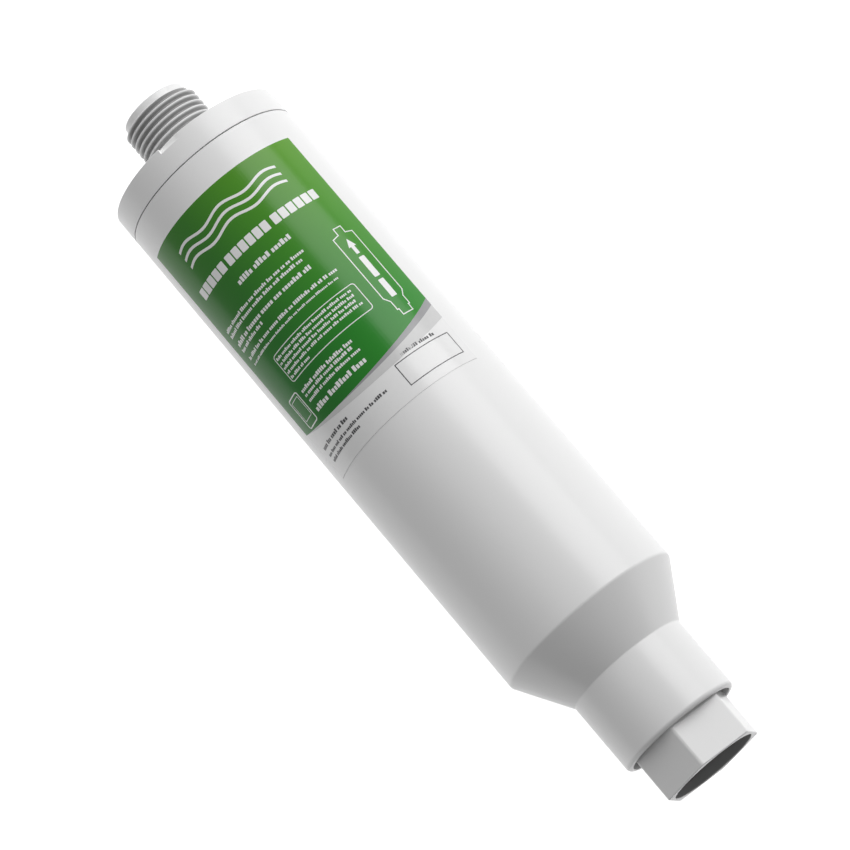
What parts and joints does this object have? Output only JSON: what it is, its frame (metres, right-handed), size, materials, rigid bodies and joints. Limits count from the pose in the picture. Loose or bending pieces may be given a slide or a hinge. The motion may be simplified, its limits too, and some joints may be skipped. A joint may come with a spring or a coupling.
{
  "type": "inline water filter",
  "caption": "White cylindrical inline water filter with a tapered neck, a hexagonal swivel inlet nut, a threaded outlet spigot and a green label.",
  "frame": {"origin": "on the filter's axis, on the plane where the supply hose's end seals against the inlet washer", "axes": "+X along the axis in the direction of flow, from the swivel inlet nut to the threaded outlet spigot; +Z through the middle of the front label; +Y completes the right-handed frame"},
  "size_m": [0.2792, 0.064, 0.0641],
  "materials": {
    "white_shell": "smooth gloss white moulding",
    "white_nut": "smooth gloss white moulding",
    "label_film": "printed film, satin",
    "washer_rubber": "matte black rubber",
    "seal_rubber": "smooth black rubber",
    "stem_plastic": "satin white moulding",
    "grid_plastic": "natural polypropylene moulding",
    "screen": "fine woven nylon screen",
    "foam_pad": "open-cell foam",
    "felt_pad": "white needled felt",
    "copper_zinc_granules": "packed metallic granules",
    "carbon_granules": "packed charcoal granules"
  },
  "bodies": {
    "filter_body": {"housing_shell": "white_shell", "end_cap": "white_shell", "front_label": "label_film", "swivel_stem": "stem_plastic", "stem_o_ring": "seal_rubber", "inlet_distributor": "grid_plastic", "inlet_mesh": "screen", "inlet_foam": "foam_pad", "inlet_felt": "felt_pad", "copper_zinc_bed": "copper_zinc_granules", "divider_felt": "felt_pad", "carbon_bed": "carbon_granules", "outlet_felt": "felt_pad", "outlet_mesh": "screen", "outlet_grid": "grid_plastic"},
    "inlet_nut": {"swivel_nut": "white_nut", "inlet_washer": "washer_rubber"}
  },
  "joints": [
    {"name": "nut_swivel", "type": "hinge", "parent": "filter_body", "child": "inlet_nut", "pos_m": [0, 0, 0], "axis": [1, 0, 0], "continuous": true}
  ]
}
